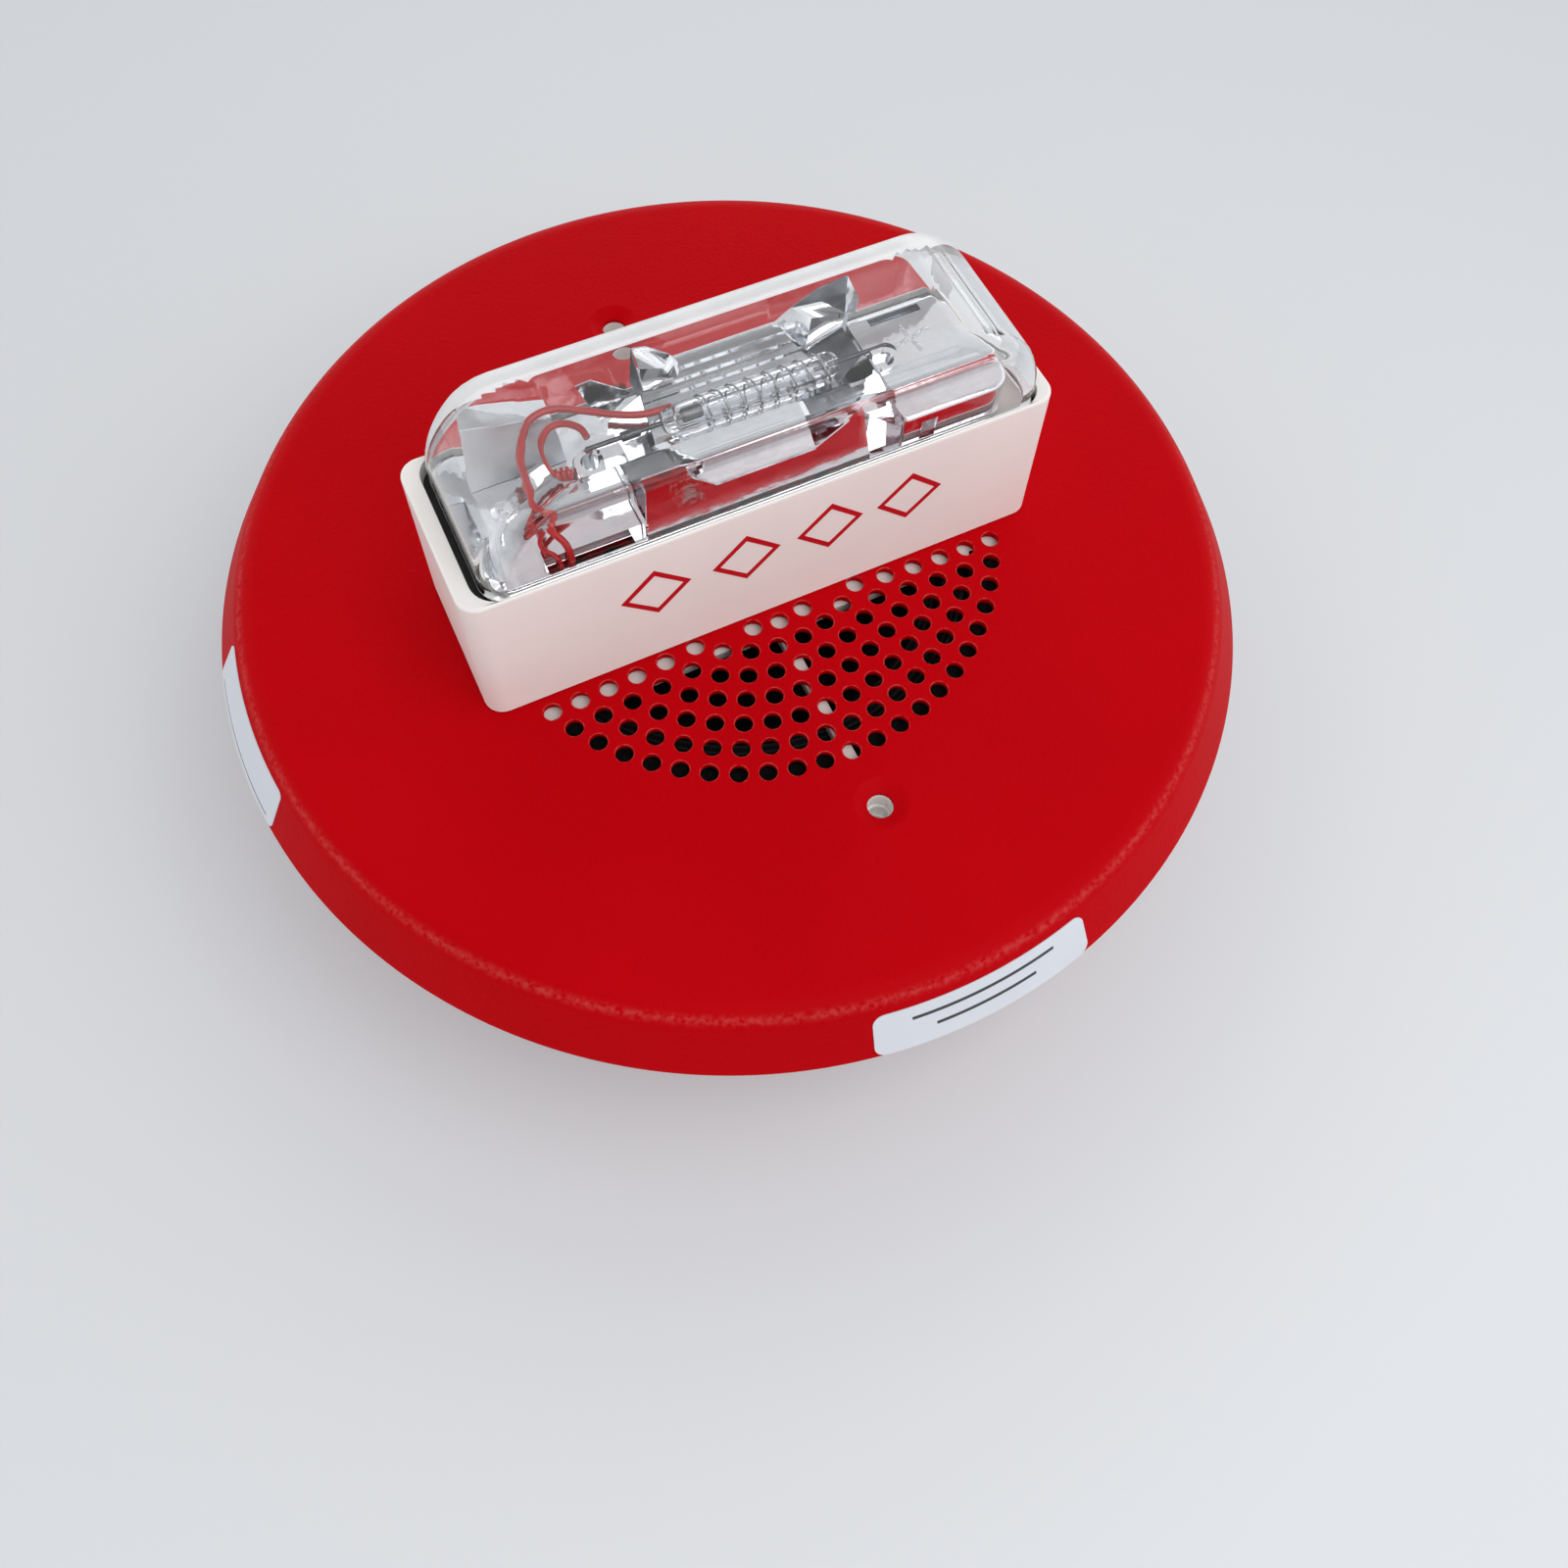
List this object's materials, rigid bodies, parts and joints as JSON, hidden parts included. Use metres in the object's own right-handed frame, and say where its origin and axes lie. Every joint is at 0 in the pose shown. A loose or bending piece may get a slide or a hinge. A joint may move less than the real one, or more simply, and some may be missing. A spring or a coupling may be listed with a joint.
{
  "type": "horn strobe",
  "caption": "Round red ceiling horn strobe: perforated grille, rectangular white strobe module under a clear lens, cone driver, line transformer and terminal board behind.",
  "frame": {"origin": "centre of the rim's back edge, in the plane where the faceplate meets the ceiling", "axes": "+Z out of the front face, into the room; +X along the strobe module; +Y completes the right-handed frame, along the line of the two fixing screws"},
  "size_m": [0.2032, 0.2032, 0.116],
  "materials": {
    "red_faceplate": "finely textured deep red",
    "label_white": "blank white sticker",
    "white_plastic": "satin off-white moulding",
    "clear_lens": "clear polished polycarbonate",
    "metallised_plastic": "vacuum metallised moulding",
    "tube_glass": "clear glass",
    "dark_pins": "dark drawn wire",
    "bare_wire": "fine bright wire",
    "red_insulation": "red wire insulation",
    "black_insulation": "black wire insulation",
    "blue_insulation": "coloured wire insulation",
    "circuit_board": "green solder mask",
    "zinc_screws": "bright zinc plate",
    "black_sleeve": "shrink sleeve",
    "coil_plastic": "wound bobbin",
    "ferrite": "ground ferrite",
    "black_plastic": "moulded black plastic",
    "black_foam": "closed-cell foam",
    "zinc_steel": "zinc-plated pressed steel",
    "cone_cloth": "treated pleated cloth",
    "cone_paper": "felted black paper",
    "coil_former": "brown paper tube",
    "copper_winding": "enamelled copper",
    "spider_cloth": "corrugated resin-treated cloth",
    "tag_board": "brown laminate",
    "tinsel": "braided tinsel lead",
    "terminal_green": "green moulding",
    "slider_white": "white knob",
    "slider_red": "red knob",
    "lamination_steel": "varnished lamination stack",
    "winding_tape": "yellow winding tape"
  },
  "bodies": {
    "housing": {"faceplate": "red_faceplate", "rim_labels": "label_white", "strobe_bezel": "white_plastic", "strobe_lens": "clear_lens", "reflector": "metallised_plastic", "flash_tube": "tube_glass", "tube_electrodes": "dark_pins", "trigger_wire": "bare_wire", "tube_leads": "red_insulation", "strobe_board": "circuit_board", "reflector_screws": "zinc_screws", "flash_capacitor": "black_sleeve", "trigger_coil": "coil_plastic", "boost_inductor": "ferrite", "strobe_board_parts": "black_plastic", "mounting_bridge": "white_plastic", "bezel_screws": "zinc_screws", "grille_gasket": "black_foam", "driver_basket": "zinc_steel", "cone_surround": "cone_cloth", "spider": "spider_cloth", "front_plate": "zinc_steel", "ring_magnet": "ferrite", "pole_yoke": "zinc_steel", "driver_terminals": "tag_board", "tinsel_leads": "tinsel", "driver_screws": "zinc_screws", "rear_saddle": "black_plastic", "saddle_screw": "zinc_screws", "terminal_board": "circuit_board", "board_screws": "zinc_screws", "terminal_block": "terminal_green", "terminal_screws": "zinc_screws", "candela_switch": "black_plastic", "tap_switch": "black_plastic", "voltage_switch": "black_plastic", "transformer_core": "lamination_steel", "transformer_winding": "winding_tape", "transformer_bracket": "zinc_steel", "transformer_screws": "zinc_screws", "transformer_leads": "blue_insulation", "driver_leads": "black_insulation", "strobe_harness": "red_insulation"},
    "cone_assembly": {"driver_cone": "cone_paper", "dust_cap": "cone_paper", "coil_former": "coil_former", "voice_coil": "copper_winding"},
    "candela_slider": {"candela_slider": "slider_white"},
    "tap_slider": {"tap_slider": "slider_white"},
    "voltage_slider": {"voltage_slider": "slider_red"}
  },
  "joints": [
    {"name": "cone_travel", "type": "slide", "parent": "housing", "child": "cone_assembly", "axis": [0, 0, 1], "range_m": [-0.0015, 0.0015], "stiffness_N_per_m": 2500, "deforming": ["cone_surround", "spider", "tinsel_leads"]},
    {"name": "candela_select", "type": "slide", "parent": "housing", "child": "candela_slider", "axis": [0, 1, 0], "range_m": [0, 0.0075]},
    {"name": "tap_select", "type": "slide", "parent": "housing", "child": "tap_slider", "axis": [0, 1, 0], "range_m": [0, 0.01]},
    {"name": "voltage_select", "type": "slide", "parent": "housing", "child": "voltage_slider", "axis": [0, 1, 0], "range_m": [0, 0.0025]}
  ]
}
